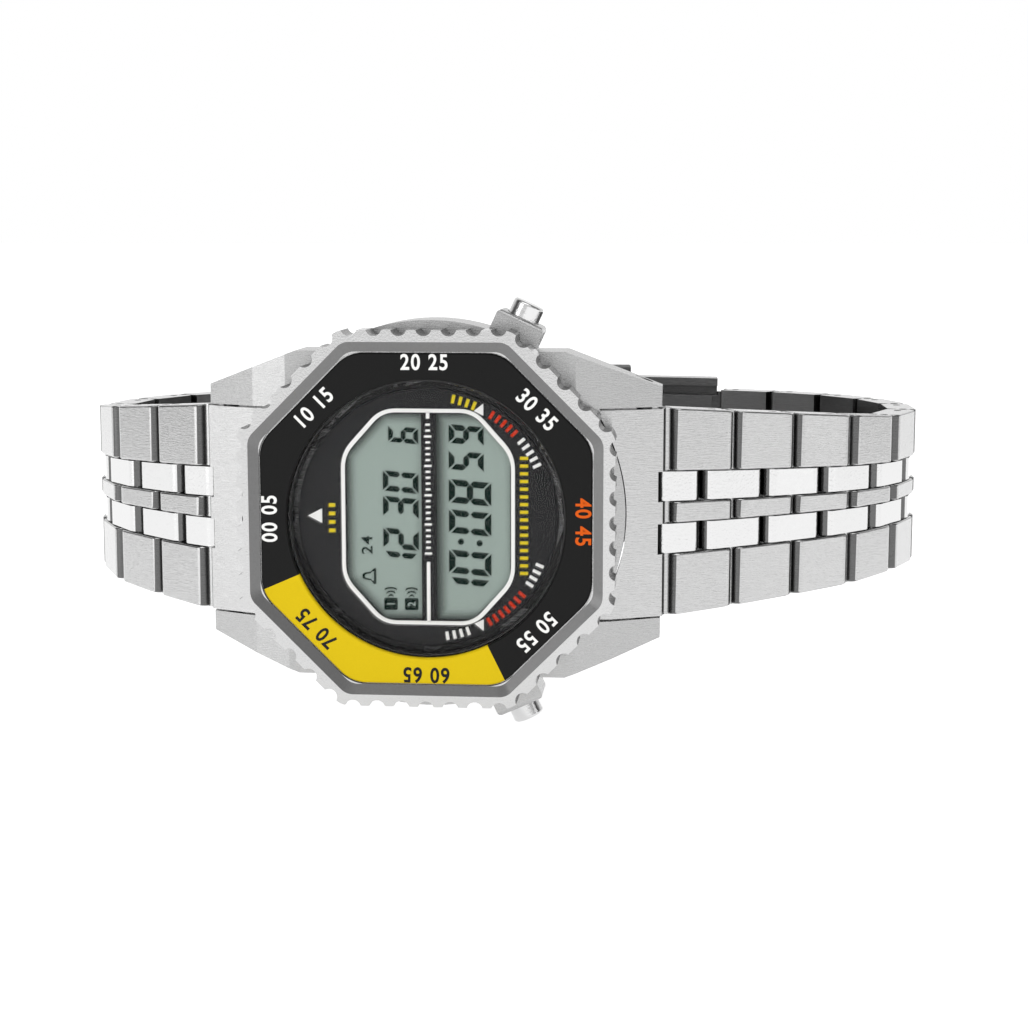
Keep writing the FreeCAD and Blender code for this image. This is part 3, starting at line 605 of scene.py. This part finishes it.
# rows of short bars that stand for lines of printing
rowYellow = dict(x=9.0, half=0.38, count=16, first=-5.3, step=0.72, width=0.3)
rowShort = dict(x=-9.05, half=0.3, count=4, first=-1.5, step=0.8, width=0.35)
# curved rows of bars near the rim: where each starts, how many bars it has and its colour
arc = dict(outer=11.75, inner=10.95, step=3.4, half=0.75)
arcs = (("arcYellow", 67.5, 4, printYellow), ("arcRedUpper", 44.5, 5, printRed),
        ("arcWhiteUpper", 26.0, 5, printWhite), ("arcWhiteLower", -81.0, 4, printWhite),
        ("arcRedLower", -59.5, 7, printRed), ("arcWhiteEnd", -33.0, 4, printWhite))
pointer = dict(tip=11.9, back=10.9, half=2.6)
pointers = (("pointerNearFour", 64.0), ("pointerNearEight", -64.0))


def rectangle(lowX, highX, lowZ, highZ):
    return [(lowX, lowZ), (highX, lowZ), (highX, highZ), (lowX, highZ)]


def addPrint(name, outlines, material):
    addSlabs(name, outlines, dialTop, dialTop + printDepth, material, "head")


def addWindowFrame():
    inset = window["line"]
    cutInset = inset * window["cutShare"]
    outer = cutRectangle(window["halfX"], window["halfZ"], window["cutX"], window["cutZ"])
    inner = cutRectangle(window["halfX"] - inset, window["halfZ"] - inset, window["cutX"] - cutInset,
                         window["cutZ"] - cutInset)
    outer = roundedOutline(outer, window["outerRound"])
    inner = roundedOutline(inner, window["innerRound"])
    addBand("windowFrame", outer, inner, dialTop, dialTop + printDepth, printWhite, "head")


def addDivider():
    bar = rectangle(divider["low"], divider["high"], -divider["end"], divider["end"])
    addSlabs("windowDivider", [bar], lcdTop + divider["lift"], dialTop, dialBlack, "head")
    addPrint("dividerLines", [rectangle(divider["lineLow"], divider["lineHigh"], start, end)
                              for start, end in divider["lines"]], printWhite)
    ticks = []
    for i in range(tick["count"]):
        half = tick["long"] if i % tick["longEvery"] == 0 else tick["short"]
        start = tick["first"] + i * tick["step"]
        ticks.append(rectangle(tick["middle"] - half, tick["middle"] + half, start, start + tick["width"]))
    addPrint("dividerTicks", ticks, printWhite)


def addRow(name, row):
    starts = [row["first"] + row["step"] * k for k in range(row["count"])]
    bars = [rectangle(row["x"] - row["half"], row["x"] + row["half"], z, z + row["width"]) for z in starts]
    addPrint(name, bars, printYellow)


def addDialPrint():
    addWindowFrame()
    addDivider()
    addPrint("indexTriangle", [[(triangle["tip"], triangle["middle"]),
                                (triangle["back"], triangle["middle"] - triangle["half"]),
                                (triangle["back"], triangle["middle"] + triangle["half"])]], printWhite)
    addRow("rowYellow", rowYellow)
    addRow("rowShort", rowShort)
    for name, start, count, material in arcs:
        marks = []
        for k in range(count):
            low = start + arc["step"] * k - arc["half"]
            high = low + 2 * arc["half"]
            marks.append([atAngle(arc["outer"], low), atAngle(arc["outer"], high),
                          atAngle(arc["inner"], high), atAngle(arc["inner"], low)])
        addPrint(name, marks, material)
    for name, angle in pointers:
        addPrint(name, [[atAngle(pointer["tip"], angle), atAngle(pointer["back"], angle - pointer["half"]),
                         atAngle(pointer["back"], angle + pointer["half"])]], printWhite)


segmentShapes = {"0": "abcdef", "1": "bc", "2": "abged", "3": "abgcd", "4": "fgbc", "5": "afgcd",
                 "6": "afgedc", "7": "abc", "8": "abcdefg", "9": "abcdfg"}
segment = dict(gap=0.045, nib=0.55, tip=0.3, slant=1.15, waist=0.6)


def segmentOutlines(character, width, height, bar):
    # seven-segment strokes in a cell: across 0..width, up 0..height
    gap = segment["gap"]
    half, mid = bar / 2, height / 2
    inner, far = gap + bar, width - gap
    nib = bar * segment["nib"]
    tip = gap + bar * segment["tip"]
    slant = gap + bar * segment["slant"]
    waist = half + gap * segment["waist"]
    strokes = {
        "a": [(gap, height), (far, height), (far - bar, height - bar), (inner, height - bar)],
        "d": [(inner, bar), (far - bar, bar), (far, 0), (gap, 0)],
        "g": [(gap + half, mid), (inner, mid + half), (far - bar, mid + half), (far - half, mid),
              (far - bar, mid - half), (inner, mid - half)],
        "f": [(0, height - tip), (bar, height - slant), (bar, mid + waist), (half, mid + gap), (0, mid + nib)],
        "b": [(width, height - tip), (width, mid + nib), (width - half, mid + gap),
              (width - bar, mid + waist), (width - bar, height - slant)],
        "e": [(0, tip), (0, mid - nib), (half, mid - gap), (bar, mid - waist), (bar, slant)],
        "c": [(width, tip), (width - bar, slant), (width - bar, mid - waist), (width - half, mid - gap),
              (width, mid - nib)],
    }
    return [strokes[s] for s in segmentShapes[character]]


display = dict(lean=0.09, lift=0.02, depth=0.03)
# each group has its digits, where each cell starts, its base line, and the size of a cell and its strokes
digitGroups = {
    "digitsHours": dict(digits="1008", starts=(-8.2, -5.6, -1.8, 1.05), base=5.9, width=2.2, height=3.98,
                        bar=0.6),
    "digitsSeconds": dict(digits="59", starts=(4.25, 6.7), base=5.2, width=1.75, height=3.27, bar=0.54),
    "digitsDate": dict(digits="1230", starts=(-5.45, -3.25, -0.25, 2.15), base=-0.93, width=1.9, height=3.35,
                       bar=0.52),
    "digitsDay": dict(digits="6", starts=(6.8,), base=-0.93, width=1.5, height=2.8, bar=0.44),
}
smallNumber = dict(words="24", x=-5.85, z=-2.75, size=1.45, stretch=1.15, spacing=1.15, heavy=0.02)
boxed = dict(half=0.64, start=-8.9, end=-7.75, rounding=0.15, middle=-8.32, size=1.0, stretch=0.9, heavy=0.02)
boxes = (("boxedOne", "1", -3.62), ("boxedTwo", "2", -1.65))
wave = dict(count=3, spread=0.24, wider=0.17, start=-7.6, step=0.34, bow=0.2, line=0.15, turnStep=15)
bell = dict(middleX=-5.62, middleZ=-5.7, hollowX=0.66, hollowZ=0.62,
            outline=((-6.3, -5.9), (-6.3, -5.5), (-6.05, -5.36), (-5.5, -5.28), (-5.2, -4.95), (-5.0, -4.95),
                     (-5.0, -6.45), (-5.2, -6.45), (-5.5, -6.12), (-6.05, -6.04)))
colon = dict(radius=0.29, count=20, places=((3.05, -2.3), (4.8, -2.43)))
readingTurn = 90
segmentLow = lcdTop + display["lift"]
segmentHigh = segmentLow + display["depth"]


def readingPlace(across, up, start, base):
    # digits read towards 3 o'clock, with their tops towards 12
    return (base - up, start + across + up * display["lean"])


def addSegments(name, outlines):
    addSlabs(name, outlines, segmentLow, segmentHigh, lcdSegment, "head")


def addDigits(name, group):
    outlines = []
    for start, character in zip(group["starts"], group["digits"]):
        for stroke in segmentOutlines(character, group["width"], group["height"], group["bar"]):
            outlines.append([readingPlace(across, up, start, group["base"]) for across, up in stroke])
    addSegments(name, outlines)


def addBox(name, words, x):
    # a filled square with a light number, and waves beside it
    square = rectangle(x - boxed["half"], x + boxed["half"], boxed["start"], boxed["end"])
    addSegments(name, [roundedOutline(square, boxed["rounding"], 3)])
    addText(name + "Number", words, x, boxed["middle"], segmentHigh, boxed["size"], readingTurn, lcdLight,
            "head", boxed["stretch"], 1.0, boxed["heavy"])
    for k in range(wave["count"]):
        spread = wave["spread"] + wave["wider"] * k
        start = wave["start"] + wave["step"] * k
        bow = [(x + spread * math.sin(math.radians(a)), start + wave["bow"] * math.cos(math.radians(a)))
               for a in range(-90, 91, wave["turnStep"])]
        under = [(px, pz - wave["line"]) for px, pz in bow]
        addBand(name + "Wave" + str(k), bow, under, segmentLow, segmentHigh, lcdSegment, "head", closed=False)


def addBell():
    hollow = [(bell["middleX"] + (x - bell["middleX"]) * bell["hollowX"],
               bell["middleZ"] + (z - bell["middleZ"]) * bell["hollowZ"]) for x, z in bell["outline"]]
    addBand("bell", bell["outline"], hollow, segmentLow, segmentHigh, lcdSegment, "head")


def addSmallNumber():
    small = smallNumber
    addText("smallNumber", small["words"], small["x"], small["z"], lcdTop, small["size"], readingTurn,
            lcdSegment, "head", small["stretch"], small["spacing"], small["heavy"])


def addDisplay():
    for name, group in digitGroups.items():
        addDigits(name, group)
    addSmallNumber()
    for name, words, x in boxes:
        addBox(name, words, x)
    addBell()
    addSegments("digitsColon", [[(x + dx, z + dz) for dx, dz in circle(colon["radius"], colon["count"])]
                                for x, z in colon["places"]])


print("dial")
addDialPrint()
print("display")
addDisplay()


# the world's brightness from the front of the watch to the back, as (place, level)
studio = dict(floorSize=6.0, floorShade=0.9, floorGlow=0.75,
              frontToBack=((0.0, 0.92), (0.12, 0.82), (0.30, 0.42), (0.44, 0.10), (0.58, 0.10), (0.72, 0.80),
                           (0.84, 1.0)))
# where each lamp stands and aims in metres, its size and its power in watts
lamps = {
    "topSoftbox": dict(place=(0.05, -0.25, 0.6), aim=(0, 0.01, 0), size=(0.6, 0.35), power=1.1),
    "leftSoftbox": dict(place=(-0.6, -0.55, 0.05), aim=(0, 0, 0), size=(0.35, 0.6), power=1.5),
    "rightSoftbox": dict(place=(0.75, -0.25, -0.02), aim=(0.02, 0, 0), size=(0.12, 0.6), power=0.35),
}


def makeStage():
    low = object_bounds()[0].z
    mesh = bpy.data.meshes.new("floor")
    s = studio["floorSize"]
    mesh.from_pydata([(-s, -s, low), (s, -s, low), (s, s, low), (-s, s, low)], [], [[0, 1, 2, 3]])
    floor = bpy.data.objects.new("floor", mesh)
    bpy.context.scene.collection.objects.link(floor)
    white = makePlain("floorWhite", [studio["floorShade"]] * 3, 0.9)
    glow = white.node_tree.nodes["Principled BSDF"]
    glow.inputs["Specular IOR Level"].default_value = 0.0
    glow.inputs["Emission Color"].default_value = (1, 1, 1, 1)
    glow.inputs["Emission Strength"].default_value = studio["floorGlow"]
    mesh.materials.append(white)
    # a bright wall behind the watch, dark flags beside it and a softer light from the front
    world = bpy.data.worlds.new("studio")
    bpy.context.scene.world = world
    world.use_nodes = True
    nodes, links = world.node_tree.nodes, world.node_tree.links
    coords = nodes.new("ShaderNodeTexCoord")
    split = nodes.new("ShaderNodeSeparateXYZ")
    links.new(coords.outputs["Generated"], split.inputs["Vector"])
    reach = nodes.new("ShaderNodeMapRange")
    reach.inputs["From Min"].default_value = -1.0
    reach.inputs["From Max"].default_value = 1.0
    links.new(split.outputs["Y"], reach.inputs["Value"])
    ramp = nodes.new("ShaderNodeValToRGB")
    stops = ramp.color_ramp.elements
    while len(stops) < len(studio["frontToBack"]):
        stops.new(0.5)
    for stop, (place, level) in zip(stops, studio["frontToBack"]):
        stop.position = place
        stop.color = (level, level, level, 1)
    links.new(reach.outputs["Result"], ramp.inputs["Fac"])
    links.new(ramp.outputs["Color"], nodes["Background"].inputs["Color"])


def addLight(name, place, aim, size, power):
    lamp = bpy.data.lights.new(name, "AREA")
    lamp.shape = "RECTANGLE"
    lamp.size, lamp.size_y = size
    lamp.energy = power
    obj = bpy.data.objects.new(name, lamp)
    obj.location = place
    obj.rotation_euler = (Vector(aim) - Vector(place)).to_track_quat("-Z", "Y").to_euler()
    bpy.context.scene.collection.objects.link(obj)


lens = dict(elevation=8.19, azimuth=-5.17, roll=0.02, distance=182.8, aimX=8.2, aimZ=0.6, focal=69.32,
            sensor=36)


def makeCamera():
    roll = Matrix.Rotation(math.radians(lens["roll"]), 3, "Z")
    elevation = Matrix.Rotation(math.radians(lens["elevation"]), 3, "X")
    azimuth = Matrix.Rotation(math.radians(lens["azimuth"]), 3, "Y")
    turn = (roll @ elevation @ azimuth).transposed()
    toRow = Matrix(((1, 0, 0), (0, 0, -1), (0, 1, 0)))
    facing = toRow @ turn
    offset = facing @ Vector((lens["aimX"], lens["aimZ"], lens["distance"])) * mm
    place = offset + Vector((0, -insertTop * mm, 0))
    data = bpy.data.cameras.new("camera")
    data.lens = lens["focal"]
    data.sensor_width = lens["sensor"]
    data.clip_start = 0.01
    data.clip_end = 50
    camera = bpy.data.objects.new("camera", data)
    camera.matrix_world = Matrix.Translation(place) @ facing.to_4x4()
    bpy.context.scene.collection.objects.link(camera)
    bpy.context.scene.camera = camera


print("stage")
makeStage()
for lampName, lamp in lamps.items():
    addLight(lampName, **lamp)
makeCamera()
bpy.context.scene.view_settings.view_transform = "Standard"
